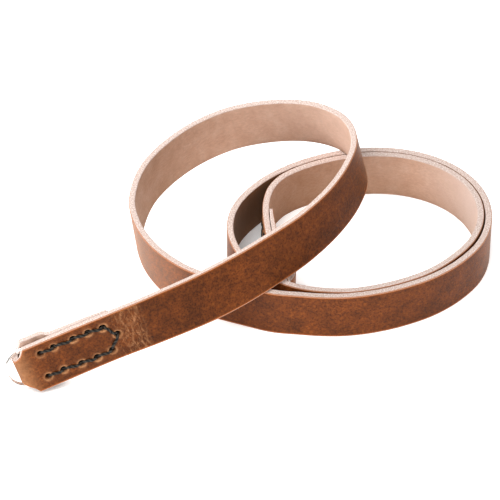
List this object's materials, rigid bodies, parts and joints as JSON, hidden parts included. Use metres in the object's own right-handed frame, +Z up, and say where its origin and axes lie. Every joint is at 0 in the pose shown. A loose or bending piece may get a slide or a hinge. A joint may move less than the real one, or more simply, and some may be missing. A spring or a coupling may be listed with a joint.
{
  "type": "camera neck strap",
  "caption": "Long leather camera strap with folded, thread-sewn ends on split rings, laid on its edge in two loops.",
  "frame": {"origin": "centre of the bounding box's footprint, on the surface that the strap stands on", "axes": "+Z up, across the strap's width where it stands on its edge; +X the long way of the laid strap, from the free end that shows its stitching towards the double coil; +Y away from the side that the picture is taken from"},
  "size_m": [0.184, 0.1316, 0.0428],
  "materials": {
    "leather": "waxed brown grain side, bare pale flesh side and cut edges",
    "ring_metal": "polished nickel plating"
  },
  "bodies": {
    "root": {"strap": "leather", "ring_a": "ring_metal", "ring_b": "ring_metal"}
  },
  "joints": []
}
